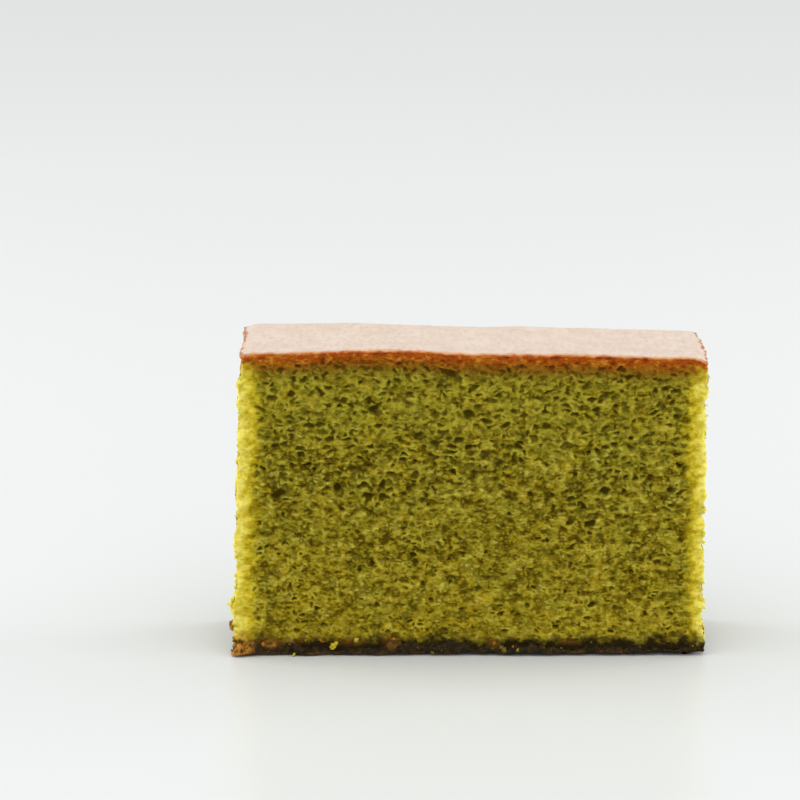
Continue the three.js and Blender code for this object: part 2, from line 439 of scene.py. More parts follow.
# ---- the crumb
def crumb_pits(x, y, z, distance, around):
    """How deep the open crumb is, in mm, and as a share, which the material paints as shade in
    the pores: the deepest of large and medium lone bubbles, of a foam that is close low down
    and open high up, and of a fine foam. In grainy patches, more of them low down, gaps
    between grains take the foam's place. Slow and fine lumps bend the lattices, so that no
    rows of bubbles show."""
    along = distance + layered(x, y, z, (0.36, 0.9, 10), (0.3, 1.7, 11), (0.9, 6, 12))
    up = z + layered(x, y, z, (0.3, 0.9, 15), (0.25, 1.7, 13), (0.6, 6, 14))
    large = bubbles(along, up, around, 21, cell=4.6, share=0.27, half_width=(0.8, 1.8), depth=0.6)
    medium = bubbles(along, up, around, 22, cell=2.4, share=0.4, half_width=(0.5, 0.9), depth=0.55)
    open_foam = foam(along, up, around, 23, cell=1.9, depth=0.5)
    close_foam = foam(along, up, around, 24, cell=1.35, depth=0.5)
    fine_foam = foam(along, up, around, 25, cell=0.9, depth=0.45)

    coarse = ease(18, 42, z + 10 * lumps(x, y, z, 7, 26))
    pit = np.maximum(close_foam[0] * (1 - 0.7 * coarse), open_foam[0] * coarse)
    # the share of painted shade in the pores
    hollow = np.maximum(close_foam[1] * (1 - 0.7 * coarse), open_foam[1] * coarse)
    grains = ease(-0.25, 0.25, lumps(x, y, z, 1.8, 27) - 0.1 - 0.2 * ease(15, 55, z))
    gaps = 1 - ease(0.0, 0.9, close_foam[2])
    pit = pit * (1 - 0.8 * grains) + 0.36 * gaps * grains
    hollow = hollow * (1 - 0.7 * grains) + 0.6 * gaps * grains
    pit = np.maximum.reduce([large[0], medium[0], pit, 0.7 * fine_foam[0]])
    hollow = np.maximum.reduce([1.2 * large[1], medium[1], 0.85 * hollow, 0.45 * fine_foam[1]])
    return pit, hollow


def crumb_tears(x, y, z, out, corner):
    """How far the torn crumb stands out, in mm: a fine tearing all over, ragged lumps within
    4 mm of an upright corner, and flat layers on the two ends, highest near the corners."""
    torn = 0.14 * rough(x, y, z, 1.1, 31) + 0.06 * lumps(x, y, z, 2.4, 33)
    near = 1 - ease(0.8, 4.0, corner)
    ragged = near * layered(x / 2, y / 2, z, (0.34, 0.9, 35), (0.6, 2.2, 36))
    flat = layered(x, y / 4, z, (0.42, 1.2, 34), (0.45, 3.2, 32))
    return torn + (ragged + out[:, 0] ** 2 * (1 - 0.5 * ease(2, 9, corner)) * flat)


def make_sponge():
    """The four cut walls as one surface of (distance round, height), closed above and below.

    A point starts on the plain leaning wall. It moves straight out by the knife's slow wave
    and the torn crumb, and in by the rubbed corners and the open bubbles, which close up
    towards skin, foot and corners. The last 2 mm turn into the skin's own edge, and the
    last row is tucked in and down under it.

    The material reads hollow, the painted shade in the pores, which is 1 in a deep
    bubble, depth below the skin's face in mm, corner, which is mm from the edges where a glow
    of light through the crumb is painted, smear and caramel at the foot, and soaked, which is
    how far the base's stain reaches the point."""
    share, out, distance, around = walls(FRONT_STEP, END_STEP, BACK_STEP)
    top = skin_top(*plain_wall(share, HEIGHT))
    rise = np.linspace(0, 1, round(HEIGHT / UP_STEP))[:, None]
    z = CRUMB_FOOT + rise * (top - (CRUMB_FOOT + UNDER_SKIN))
    x, y = plain_wall(share, z)

    corner = corner_distance(distance, around)
    depth = top - z
    tight = ease(0.7, 2.8, depth) * (0.45 + 0.55 * ease(2.0, 6.0, z))
    tight = tight * (0.3 + 0.7 * ease(1.5, 5.5, corner))
    # the depth of the pits, and the share of painted shade in them
    pit, hollow = (value * tight for value in crumb_pits(x, y, z, distance, around))
    tears = crumb_tears(x, y, z, out, corner)
    rubbed = CORNER * (1 - ease(0, 1.3, corner))
    at_top = ease(2.0, 0.6, depth)
    ends, faces = skin_edge(x, y)
    under_skin = out[:, 0] ** 2 * ends + out[:, 1] ** 2 * faces - CRUMB_IN
    move = cut_wave(x, y, z) + tears * (1 - at_top) + under_skin * at_top - rubbed - pit
    move[-1] = -TUCK
    z[-1] -= TUCK
    piece = wall_piece("sponge", moved_out(x, y, z, out, move))

    smear, light = smeared(x, y, z)
    front = np.clip(-out[:, 1], 0, 1)
    # mm from the edges with the painted glow of light through the crumb: counted longer away from the
    # front, so that the glow is widest on the front, and longer on the right half low down
    from_glow_edge = corner * (1.7 - 0.7 * front) + 3.4 * ease(1, 12, y - FRONT)
    narrower = 1 + 0.3 * (x > 0) * ease(52, 32, z)
    set_values(
        piece, hollow=hollow, depth=depth, corner=from_glow_edge * narrower,
        smear=smear, caramel=light, soaked=1.0,
    )
    thin_out(piece, SPONGE_TRIANGLES)
    places = ((1, 1, 1), (106, 1, 1), (1, 71, 1), (106, 71, 1), (135.5, 1, 0.03), (135.5, 6, 0.03))
    unfold(piece, places, (140, 140), (0.05, 3.0))
    return piece


# ---- the browned skin
def skin_face():
    """The skin's upper face as a height over (x, y): skin_top, with faint wrinkles that run
    along the slice, a fine grain and a rolled rim. Gives a grid of points, how far each is
    from the rim in mm, and how near to an end, from 0 to 1."""
    across, deep = round(WIDTH / SKIN_STEP), round(THICK / SKIN_STEP)
    share_x, share_y = np.meshgrid(np.linspace(0, 1, across), np.linspace(0, 1, deep))
    left, right = left_end(HEIGHT) - SKIN_LIP, RIGHT_TOP + SKIN_LIP
    x = left + share_x * (right - left)
    y = FRONT - SKIN_LIP + share_y * (THICK + 2 * SKIN_LIP)
    rim = np.minimum(np.minimum(x - left, right - x), np.minimum(y - y[0, 0], y[-1, 0] - y))
    near_end = np.sign(share_x - 0.5) * ease(0.46, 0.5, abs(share_x - 0.5))
    near_face = np.sign(share_y - 0.5) * ease(0.4, 0.5, abs(share_y - 0.5))
    wave = cut_wave(x, y, HEIGHT - 1)
    ends, faces = skin_edge(x, y)
    x, y = x + near_end * (wave + ends), y + near_face * (wave + faces)
    wrinkle = lumps(x / 9, y + 0.4 * lumps(x, y, 0, 4, 53), 0, 0.5, 54) * 0.01
    grain = 0.012 * rough(x, y, 0, 0.7, 57, octaves=2)
    rolled = -0.2 * (1 - ease(0, 0.7, rim)) ** 2 * (1 + 0.7 * lumps(x, y, 0, 1.1, 48))
    face = np.stack([x, y, skin_top(x, y) + wrinkle + grain + rolled], axis=-1)
    return face, rim, abs(near_end)


def make_top_skin():
    """The skin's upper face, its edge as a ragged strip carried round it, and a flat
    underside hidden in the crumb.

    The strip goes down by its own wandering thickness, swells out by SKIN_PROFILE and small
    bumps, and turns in behind the crumb. The material reads depth, in mm down the edge, and
    frayed, which is 1 where the rim of the face is torn."""
    face, rim, near_end = skin_face()
    x, y = face[..., 0], face[..., 1]
    number = np.arange(rim.size).reshape(rim.shape)
    ring = np.concatenate([number[0, :-1], number[:-1, -1], number[-1, :0:-1], number[:0:-1, 0]])
    edge = face.reshape(-1, 3)[ring]
    way = (np.roll(edge, -1, axis=0) - np.roll(edge, 1, axis=0))[:, :2]
    out = np.stack([way[:, 1], -way[:, 0]], axis=-1) / np.linalg.norm(way, axis=1)[:, None]
    ex, ey = edge[:, 0], edge[:, 1]
    thick = SKIN + 0.12 * lumps(ex, ey, 0, 3.1, 59) + 0.12 * lumps(ex, ey, 0, 1.1, 60)
    strips = []
    depths = [FACE_RIM * ease(0.8, 0.0, rim + 0.3 * lumps(x, y, 0, 0.9, 45)).ravel()]
    for down, outwards in SKIN_PROFILE:
        z = edge[:, 2] - down * thick
        bumpy = 0.07 * rough(ex, ey, z, 0.7, 61) + 0.05 * lumps(ex, ey, z, 1.6, 62)
        swell = outwards + bumpy * (outwards > -1)
        strips.append(moved_out(ex, ey, z, out, swell))
        depths.append(FACE_RIM + down * thick)
    points = np.concatenate([face.reshape(-1, 3), *strips])

    rings = [ring] + [number.size + n * len(ring) + np.arange(len(ring)) for n in range(len(strips))]
    face_quads = (number[:-1, :-1], number[:-1, 1:], number[1:, 1:], number[1:, :-1])
    quads = [np.stack(face_quads, axis=-1).reshape(-1, 4)]
    for high, low in zip(rings, rings[1:]):
        quads.append(np.stack([low, np.roll(low, -1), np.roll(high, -1), high], axis=-1))
    piece = new_piece("top_skin", points, np.concatenate(quads), (rings[-1][::-1],))
    frayed = ease(0.55, 0.1, rim + 0.4 * lumps(x, y, 0, 0.8, 47) + 0.35 * lumps(x, y, 0, 2.2, 46))
    frayed = frayed * (0.2 + 0.8 * ease(0.3, 0.9, near_end))
    frayed = np.pad(frayed.ravel(), (0, len(points) - frayed.size))
    set_values(piece, depth=np.concatenate(depths), frayed=frayed)
    places = ((1, 32, 1), (1, 36, 1), (1, 40, 1), (32, 36, 1), (64, 36, 0.1), (1, 1, 1))
    unfold(piece, places, (106, 45), (9, 9))
    return piece


# ---- the dark base
def make_dark_base():
    """The sticky base as a lumpy band carried round the foot, flat below and closed above
    inside the crumb, by BASE_PROFILE.

    Its height wanders in lumps of three sizes, with a hump at x -43, and its lower edge
    lifts off the floor in places, more to the right. It bulges by slow lumps and by clots
    with small bubbles in them. At the left foot it flares out to the front. The material
    reads clot, which is 1 where caramel covers it."""
    share, out, distance, around = walls(BASE_STEP, BASE_STEP, BASE_STEP)
    x0, y0 = plain_wall(share, 0)
    left_front = ease(8, 4, y0 - FRONT)
    tall = BASE + 0.9 * lumps(x0, y0, 0, 6, 71) + 0.8 * lumps(x0, y0, 0, 1.9, 72)
    tall = tall + 0.9 * np.exp(-((x0 + 43) / 5.0) ** 2) * left_front
    tall = np.clip(tall + 0.5 * lumps(x0, y0, 0, 0.8, 70), 1.5, None)
    lift = 0.05 + 0.7 * share[:, 0] ** 2
    lift = lift + 0.25 * lumps(x0, y0, 0, 8, 79) + 0.2 * lumps(x0, y0, 0, 2.2, 69)
    lift = np.clip(lift, 0.03, 1.3)
    steps, swell = np.array(BASE_PROFILE).T[:, :, None]
    z = steps * tall + (1 - steps) * lift
    z[0] = 0

    bulge = 0.15 + 0.4 * lumps(x0, y0, 0, 5, 73)
    clots = 0.3 * lumps(x0, y0, z, 1.5, 74) + 0.3 * rough(x0, y0, z, 0.7, 75)
    along = np.broadcast_to(distance, z.shape)
    clots = clots - foam(along, z, around, 76, cell=1.0, depth=0.35)[0]
    flare = np.exp(-((x0 - LEFT_FOOT - 0.8) / 3.0) ** 2) * left_front
    loose = (bulge + clots) * ease(0, 0.12, steps) - 0.35 * flare * np.abs(out[:, 0])
    loose = loose + 1.1 * flare * np.abs(out[:, 1]) * ease(0.9, 0.1, steps)
    stand = np.where(swell < -1, swell, swell + loose + cut_wave(x0, y0, z))
    piece = wall_piece("dark_base", moved_out(x0, y0, z, out, stand))
    smear, light = smeared(x0, y0, z)
    sugar = smear * (0.35 + 0.65 * light) * ease(-0.8, 0.1, rough(x0, y0, z, 1.4, 78))
    set_values(piece, clot=np.clip(sugar, 0, 1))
    places = ((1, 32, 1), (1, 39, 1), (1, 46, 1), (32, 39, 1), (1, 1, 1), (64, 39, 0.1))
    unfold(piece, places, (106, 54), (1.2, 9))
    return piece


# ---- loose crumbs and lumps
def make_bits(name, centres, sizes, seed):
    """Torn bits, each a ball of 42 points pushed in and out at random, stretched, turned and
    set at its centre, with nothing of it under the floor."""
    chance = np.random.default_rng(seed)
    ball = bmesh.new()
    bmesh.ops.create_icosphere(ball, subdivisions=2, radius=1)
    ball.verts.index_update()
    base = np.array([vertex.co for vertex in ball.verts])
    faces = np.array([[vertex.index for vertex in face.verts] for face in ball.faces])
    ball.free()

    count = len(centres)
    turns = chance.normal(size=(count, 4))
    turns /= np.linalg.norm(turns, axis=1)[:, None]
    w, a, b, c = turns.T
    matrix = np.stack([
        1 - 2 * (b * b + c * c), 2 * (a * b - w * c), 2 * (a * c + w * b),
        2 * (a * b + w * c), 1 - 2 * (a * a + c * c), 2 * (b * c - w * a),
        2 * (a * c - w * b), 2 * (b * c + w * a), 1 - 2 * (a * a + b * b),
    ], axis=-1).reshape(-1, 3, 3)
    stretch = chance.uniform(0.65, 1.45, (count, 1, 3))
    dents = chance.uniform(0.55, 1.3, (count, len(base), 1))
    points = np.einsum("nij,nvj->nvi", matrix, base * dents * stretch) * sizes[:, None, None]
    points += centres[:, None, :]
    points[:, :, 2] = np.maximum(points[:, :, 2], 0.02)
    triangles = faces + (np.arange(count) * len(base))[:, None, None]
    return new_piece(name, points.reshape(-1, 3), np.empty((0, 4), int), triangles.reshape(-1, 3))


def on_the_walls(chance, count, low, high):
    """Random places on the four walls between two heights."""
    share, out = walls(0.5, 0.5, 0.5)[:2]
    pick = chance.integers(0, len(share), count)
    z = chance.uniform(low, high, count)
    x, y = plain_wall(share[pick], z)
    return moved_out(x, y, z, out[pick], cut_wave(x, y, z) + 0.15)


def known_bits(table):
    """The centres and sizes of the listed bits."""
    rows = np.array(table)
    return rows[:, :3] + (0, FRONT, 0), rows[:, 3]


def make_loose_crumbs():
    """Crumbs that cling near the upright corners, most of them, and to the foot. They are
    small, and the fifth power of a draw makes a few of them up to twice as large."""
    chance = np.random.default_rng(5)
    z = chance.uniform(3, HEIGHT - 5, CORNER_CRUMBS)
    side = chance.integers(0, 4, CORNER_CRUMBS)
    slide = np.abs(chance.normal(0, 0.9, CORNER_CRUMBS))
    on_left, on_front = side % 2 == 0, side // 2 == 0
    x = np.where(on_left, left_end(z) + slide * 0.3, right_end(z) - slide * 0.3)
    y = np.where(on_front, FRONT + 0.1 + slide, BACK - 0.1 - slide)
    corners = np.stack([x, y, z], axis=-1)
    foot = on_the_walls(chance, FOOT_CRUMBS, 0.4, 3.6)
    known, known_sizes = known_bits(KNOWN_CRUMBS)
    centres = np.concatenate([corners, foot, known])
    sizes = chance.uniform(0.16, 0.34, len(centres)) * (1 + 1.1 * chance.uniform(0, 1, len(centres)) ** 5)
    sizes[-len(known):] = known_sizes
    piece = make_bits("loose_crumbs", centres, sizes, 6)

    # how far each counts as from the edges with the painted glow of light through the crumb,
    # and how far the base's stain reaches it
    known_near = np.where(known[:, 2] < 4, 3.6, 1.6)
    near = np.concatenate([3.4 * (y > FRONT + 9), np.full(len(foot), 2.6), known_near])
    soaked = np.repeat([1.0, 0.8, 0.0], [len(corners), len(foot), len(known)])
    each = len(piece.data.vertices) // len(centres)
    # every loose crumb gets a little painted shade of pores
    set_values(
        piece, hollow=0.15, depth=HEIGHT, corner=np.repeat(near, each),
        smear=0.0, caramel=0.0, soaked=np.repeat(soaked, each),
    )
    return piece


def make_sugar_lumps():
    """Caramel-coloured lumps of burnt sugar on the base, with a heap at the left foot."""
    chance = np.random.default_rng(8)
    spread = on_the_walls(chance, SUGAR_LUMPS, 0.3, 4.2)
    middle = np.array([LEFT_FOOT + 1.6, FRONT + 0.3, 1.3])
    heap = middle + chance.normal(0, 1, (HEAP_LUMPS, 3)) * (0.9, 0.15, 0.7)
    heap[:, 0] = np.maximum(heap[:, 0], LEFT_FOOT - 0.3)
    known, known_sizes = known_bits(KNOWN_LUMPS)
    spread_sizes = chance.uniform(0.12, 0.28, len(spread))
    heap_sizes = chance.uniform(0.3, 0.6, len(heap))
    centres = np.concatenate([spread, heap, known])
    sizes = np.concatenate([spread_sizes, heap_sizes, known_sizes])
    piece = make_bits("sugar_lumps", centres, sizes, 9)
    set_values(piece, clot=1.0)
    return piece


# ---- shading helpers
def colour(red, green, blue):
    """A colour given as 0 to 255, as the linear values that a shader takes."""
    share = np.array([red, green, blue]) / 255
    linear = np.where(share < 0.04045, share / 12.92, ((share + 0.055) / 1.055) ** 2.4)
    return (*linear, 1.0)


def put(kind, inputs, **settings):
    """Adds a node. An input is a plain value, or another node's output to link from, and the
    new node goes into the tree that this output is in."""
    outputs = [value for value in inputs.values() if isinstance(value, bpy.types.NodeSocket)]
    tree = outputs[0].id_data
    node = tree.nodes.new(kind)
    for name, value in settings.items():
        setattr(node, name, value)
    for socket, value in inputs.items():
        if isinstance(value, bpy.types.NodeSocket):
            tree.links.new(value, node.inputs[socket])
        else:
            node.inputs[socket].default_value = value
    return node


def sums(operation, first, second):
    """One sum on two numbers, such as DIVIDE."""
    return put("ShaderNodeMath", {0: first, 1: second}, operation=operation).outputs[0]


def times(first, second):
    """Two numbers multiplied."""
    return sums("MULTIPLY", first, second)


def vectors(operation, first, second):
    """One sum on two vectors, such as ADD."""
    return put("ShaderNodeVectorMath", {0: first, 1: second}, operation=operation).outputs[0]


def mix(factor, first, second):
    """Two colours mixed by a factor."""
    return put("ShaderNodeMix", {0: factor, 6: first, 7: second}, data_type="RGBA").outputs[2]


def blend(factor, first, second):
    """Two numbers mixed by a factor."""
    return put("ShaderNodeMix", {0: factor, 2: first, 3: second}, data_type="FLOAT").outputs[0]


def coated(tone, *coats):
    """A colour with coats over it. Each coat is its share and its colour, 0 to 255."""
    for share, coat in coats:
        tone = mix(share, tone, colour(*coat))
    return tone


def remap(value, low, high, to_low=0.0, to_high=1.0):
    """A smooth step of a number from one range to another."""
    inputs = {"Value": value, "From Min": low, "From Max": high, "To Min": to_low, "To Max": to_high}
    return put("ShaderNodeMapRange", inputs, interpolation_type="SMOOTHSTEP").outputs["Result"]


def ramp(value, stops):
    """A colour read off a list of (number, colour from 0 to 255), straight lines between."""
    node = put("ShaderNodeValToRGB", {"Fac": value})
    for _ in stops[2:]:
        node.color_ramp.elements.new(0.5)
    for element, (place, tone) in zip(node.color_ramp.elements, stops):
        element.position = place
        element.color = colour(*tone)
    return node.outputs["Color"]


def attribute(tree, name):
    """One of the numbers that set_values wrote."""
    node = tree.nodes.new("ShaderNodeAttribute")
    node.attribute_name = name
    return node.outputs["Fac"]


def scaled(place, scale):
    """A place with each of its axes stretched."""
    return put("ShaderNodeMapping", {"Vector": place, "Scale": scale}).outputs["Vector"]


def millimetres(tree):
    """The point on the piece, in mm."""
    return scaled(tree.nodes.new("ShaderNodeTexCoord").outputs["Object"], (1000, 1000, 1000))


def height_of(place):
    """A place's height."""
    return put("ShaderNodeSeparateXYZ", {0: place}).outputs["Z"]


def noise(place, size, detail=2.0, roughness=0.5):
    """Noise of a size in mm, from 0 to 1."""
    inputs = {"Vector": place, "Scale": 1 / size, "Detail": detail, "Roughness": roughness}
    return put("ShaderNodeTexNoise", inputs).outputs["Fac"]


def wander(place, size, reach, detail=3, roughness=0.5):
    """Noise about 0 instead, which spans a reach."""
    return times(sums("SUBTRACT", noise(place, size, detail, roughness), 0.5), reach)


def bump(height, distance, strength):
    """Relief from a height, over a depth in mm."""
    inputs = {"Height": height, "Distance": distance * MM, "Strength": strength}
    return put("ShaderNodeBump", inputs).outputs["Normal"]


SOCKETS = {"number": "NodeSocketFloat", "place": "NodeSocketVector", "colour": "NodeSocketColor"}


def new_group(name, inputs, outputs):
    """A shader node group. Inputs and outputs are each a name with its kind."""
    tree = bpy.data.node_groups.new(name, "ShaderNodeTree")
    for way, sockets in (("INPUT", inputs), ("OUTPUT", outputs)):
        for label, kind in sockets.items():
            tree.interface.new_socket(label, in_out=way, socket_type=SOCKETS[kind])
    start, end = tree.nodes.new("NodeGroupInput"), tree.nodes.new("NodeGroupOutput")
    return tree, start.outputs, end.inputs


def use_group(group, inputs):
    """Places a node group in a material with its own values, and gives its outputs."""
    return put("ShaderNodeGroup", inputs, node_tree=group).outputs


def new_material(name):
    """An empty material, ready for one shader."""
    material = bpy.data.materials.new(name)
    material.use_nodes = True
    material.node_tree.nodes.clear()
    return material, material.node_tree


def finished(material, inputs):
    """The material with its surface shader joined to its output."""
    shader = put("ShaderNodeBsdfPrincipled", inputs)
    put("ShaderNodeOutputMaterial", {"Surface": shader.outputs[0]})
    return material


# ---- shared finishes
def crumb_net_group():
    """Pores too fine for the mesh, as flattened, bent cells of a given width. Dark, the painted
    shade in a pore, is up to 1 in a pore's middle, by the pore's own share, and Wall, which
    the crumb takes as a painted highlight, is 1 where pores are farthest."""
    inputs = {"Place": "place", "Width": "number", "Flatness": "number"}
    tree, start, end = new_group("crumb_net", inputs, {"Wall": "number", "Dark": "number"})
    upright = sums("DIVIDE", 1.0, start["Flatness"])
    stretch = put("ShaderNodeCombineXYZ", {"X": 1.0, "Y": 1.0, "Z": upright}).outputs[0]
    place = vectors("MULTIPLY", start["Place"], stretch)
    scale = sums("DIVIDE", 1.0, start["Width"])
    cloud = put("ShaderNodeTexNoise", {"Vector": place, "Scale": scale, "Detail": 2.0})
    about_nought = vectors("SUBTRACT", cloud.outputs["Color"], (0.5, 0.5, 0.5))
    amount = {0: about_nought, "Scale": times(start["Width"], 1.6)}
    bend = put("ShaderNodeVectorMath", amount, operation="SCALE").outputs[0]
    bent = vectors("ADD", place, bend)
    cells = put("ShaderNodeTexVoronoi", {"Vector": bent, "Scale": scale})
    own = put("ShaderNodeSeparateColor", {0: cells.outputs["Color"]}).outputs[0]
    tree.links.new(remap(cells.outputs["Distance"], 0.45, 0.75), end["Wall"])
    inside = remap(cells.outputs["Distance"], 0.55, 0.1)
    tree.links.new(times(inside, sums("POWER", own, 0.6)), end["Dark"])
    return tree


def crust_group():
    """Browning under the skin. Tone is the colour at a depth in mm below the top, mottled,
    and Share is how much of the crumb it covers, with a wandering lower edge."""
    inputs = {"Place": "place", "Depth": "number"}
    tree, start, end = new_group("crust", inputs, {"Tone": "colour", "Share": "number"})
    place = start["Place"]
    below = sums("ADD", start["Depth"], wander(place, 1.9, 2.2))
    tone = ramp(sums("DIVIDE", below, 6.0), [
        (0.0, (232, 168, 112)), (0.05, (216, 122, 50)), (0.12, (182, 86, 20)), (0.24, (166, 78, 12)),
        (0.36, (170, 96, 18)), (0.5, (148, 98, 20)), (0.8, (122, 98, 22)),
    ])
    mottle = noise(scaled(place, (0.6, 0.6, 1.0)), 0.95, detail=4, roughness=0.65)
    dark = times(remap(mottle, 0.5, 0.64, 0.0, 0.85), remap(below, 0.1, 0.9))
    light = times(remap(mottle, 0.48, 0.34, 0.0, 0.8), remap(below, 4.0, 1.6))
    tone = coated(tone, (dark, (126, 54, 8)), (light, (214, 144, 48)))
    tree.links.new(tone, end["Tone"])
    tree.links.new(remap(below, 2.8, 7.0, 1.0, 0.0), end["Share"])
    return tree


def flecks_group():
    """Small scattered specks: 1 inside a speck and 0 between. Share is how much is covered."""
    inputs = {"Place": "place", "Size": "number", "Share": "number"}
    tree, start, end = new_group("flecks", inputs, {"Fleck": "number"})
    scale = sums("DIVIDE", 1.0, start["Size"])
    texture = {"Vector": start["Place"], "Scale": scale, "Detail": 1.0}
    cloud = put("ShaderNodeTexNoise", texture).outputs["Fac"]
    edge = sums("SUBTRACT", 0.78, times(start["Share"], 0.5))
    above = sums("SUBTRACT", cloud, edge)
    tree.links.new(remap(above, -0.03, 0.05), end["Fleck"])
    return tree


# ---- materials
def crumb_tone(place, height, wall, dark, streak, hollow):
    """The plain crumb: greener in the middle, in warm and cool patches, with a painted
    highlight on the walls between pores, painted shade in the pores and bubbles, and streaks
    of painted shade and painted highlight. High up, the streaks are weaker."""
    tone = ramp(sums("DIVIDE", height, HEIGHT), [
        (0.1, (174, 154, 28)), (0.3, (168, 150, 28)), (0.56, (152, 139, 29)), (0.75, (162, 149, 35)),
    ])
    hue = noise(place, 4.0, detail=3, roughness=0.6)
    dim = times(remap(height, 4, 20, 0.7, 0.92), remap(height, 40, 52, 1.0, 0.76))
    bright = remap(height, 40, 52, 0.78, 0.38)
    deep = remap(height, 40, 50, 0.96, 0.88)
    return coated(
        tone,
        (remap(hue, 0.51, 0.66, 0.0, 0.38), (184, 157, 22)),
        (remap(hue, 0.49, 0.34, 0.0, 0.5), (160, 154, 38)),
        # painted highlight on the walls between pores
        (times(wall, 0.15), (214, 202, 86)),
        # painted shade in the pores too fine for the mesh
        (times(dark, 0.6), (80, 62, 0)),
        # darker streaks: painted shade in the pores
        (remap(streak, 0.54, 0.34, 0.0, dim), (80, 62, 0)),
        # paler streaks: painted highlights on the crumb
        (remap(streak, 0.53, 0.7, 0.0, bright), (206, 192, 80)),
        # painted shade in the pores and bubbles
        (remap(hollow, 0.06, 0.85, 0.0, deep), (58, 46, 0)),
    )


def painted_glow_tone(tone, ragged, streak, hollow, depth):
    """A painted glow along the upright corners, which stands for light that comes through the
    crumb there: a golden band and a pale one inside it, both streaked, and weaker in the
    bubbles."""
    pore = remap(hollow, 0.2, 0.9, 1.0, 0.45)
    grain = remap(streak, 0.38, 0.62)
    golden = coated(colour(190, 164, 20), (grain, (230, 208, 44)))
    tone = mix(times(remap(ragged, 5.7, 2.4, 0.0, 0.88), pore), tone, golden)
    palest = remap(ragged, 3.6, 0.2, 0.0, remap(depth, 2.0, 8.0, 0.2, 0.88))
    pale = coated(colour(222, 204, 66), (grain, (246, 237, 128)))
    return mix(times(palest, pore), tone, pale)


def foot_tone(tree, tone, place, height):
    """Stained by the base up to a wandering height, then smeared with burnt sugar, which is
    mottled and lighter where caramel is 1."""
    foot = sums("ADD", height, wander(place, 3.4, 7.0, detail=5, roughness=0.6))
    soaked = times(remap(foot, 2.6, 5.2, 1.0, 0.0), attribute(tree, "soaked"))
    mottle = noise(place, 1.3, detail=3)
    pale = times(remap(mottle, 0.36, 0.58), attribute(tree, "caramel"))
    burnt = coated(colour(88, 58, 13), (pale, (188, 134, 40)))
    smear = times(attribute(tree, "smear"), remap(mottle, 0.62, 0.36, 0.5, 0.95))
    return mix(smear, coated(tone, (soaked, (42, 32, 11))), burnt)


def crumb_material(crumb_net, crust):
    """Green tea crumb: painted highlights on the walls round painted shade in the open bubbles,
    browned for the last few millimetres under the skin, stained dark at the foot, and with a
    painted glow of light through the crumb along the corners."""
    material, tree = new_material("tea_crumb")
    place = millimetres(tree)
    height = height_of(place)
    hollow, corner, depth = (attribute(tree, name) for name in ("hollow", "corner", "depth"))
    open_net = use_group(crumb_net, {"Place": place, "Width": 1.6, "Flatness": 0.78})
    close_net = use_group(crumb_net, {"Place": place, "Width": 1.3, "Flatness": 0.8})
    patchy = sums("ADD", height, times(noise(place, 3), 50))
    upper = remap(patchy, 52, 56)
    wall = blend(upper, close_net["Wall"], open_net["Wall"])
    dark = blend(upper, close_net["Dark"], open_net["Dark"])
    streak = noise(scaled(place, (0.65, 0.65, 1.0)), 1.15, detail=4, roughness=0.62)
    # the wandering edge of the painted glow along the corners
    ragged = remap(noise(place, 1.8, detail=3), 0.3, 0.7, -0.9, 0.9)
    ragged = sums("ADD", corner, ragged)

    tone = crumb_tone(place, height, wall, dark, streak, hollow)
    tone = painted_glow_tone(tone, ragged, streak, hollow, depth)
    browned = use_group(crust, {"Place": place, "Depth": depth})
    # painted shade in the pores of the browned crumb
    brown = coated(browned["Tone"], (remap(hollow, 0.1, 0.9, 0.0, 0.68), (70, 40, 4)))
    # the browning gives way to the painted glow near the corners
    off_corner = remap(ragged, 0.5, 4.5, 0.2, 1.0)
    under_skin = remap(depth, 2.8, 1.6)
    share = times(browned["Share"], sums("MAXIMUM", off_corner, under_skin))
    tone = mix(share, tone, brown)
    tone = foot_tone(tree, tone, place, height)

    relief = sums("SUBTRACT", wall, dark)
    relief = sums("ADD", relief, noise(place, 0.5))
    return finished(material, {
        "Base Color": tone,
        "Roughness": 0.9,
        "Specular IOR Level": 0.06,
        "Subsurface Weight": 0.45,
        "Subsurface Radius": (1.0, 0.85, 0.3),
        "Subsurface Scale": 0.0016,
        "Normal": bump(relief, 0.13, 0.6),
    })


def skin_material(flecks, crust):
    """Browned skin: tan and papery on top, a pale tone that stands partly for a painted sheen
    off the bright surroundings, caramel on its cut edge, with fibres along the slice, a few
    specks, and brown where the rim is frayed."""
    material, tree = new_material("browned_skin")
    place = millimetres(tree)
    depth = attribute(tree, "depth")
    cloud = noise(place, 5, detail=3)
    blotch = noise(scaled(place, (1.0, 0.3, 1.0)), 1.0, detail=4, roughness=0.65)
    speck = use_group(flecks, {"Place": place, "Size": 0.9, "Share": 0.1})["Fleck"]
    # the pale top, partly a painted sheen over the browned skin
    top = coated(
        colour(218, 200, 184),
        (remap(cloud, 0.3, 0.7), (211, 191, 174)),
        (remap(blotch, 0.42, 0.68, 0.0, 0.5), (194, 171, 150)),
        (times(speck, 0.45), (150, 110, 80)),
    )
    cut = use_group(crust, {"Place": place, "Depth": depth})["Tone"]
    fibres = noise(scaled(place, (0.12, 1.0, 1.0)), 0.9, detail=4, roughness=0.65)
    tone = coated(
        mix(remap(depth, 0.0, 0.24), top, cut),
        (remap(fibres, 0.56, 0.72, 0.0, 0.3), (176, 144, 118)),
        (times(attribute(tree, "frayed"), 0.8), (140, 84, 42)),
    )
    return finished(material, {
        "Base Color": tone,
        "Roughness": 0.7,
        "Specular IOR Level": 0.3,
        "Sheen Weight": 0.12,
        "Sheen Roughness": 0.5,
        "Sheen Tint": (1.0, 0.96, 0.93, 1.0),
        "Normal": bump(fibres, 0.05, 0.5),
    })


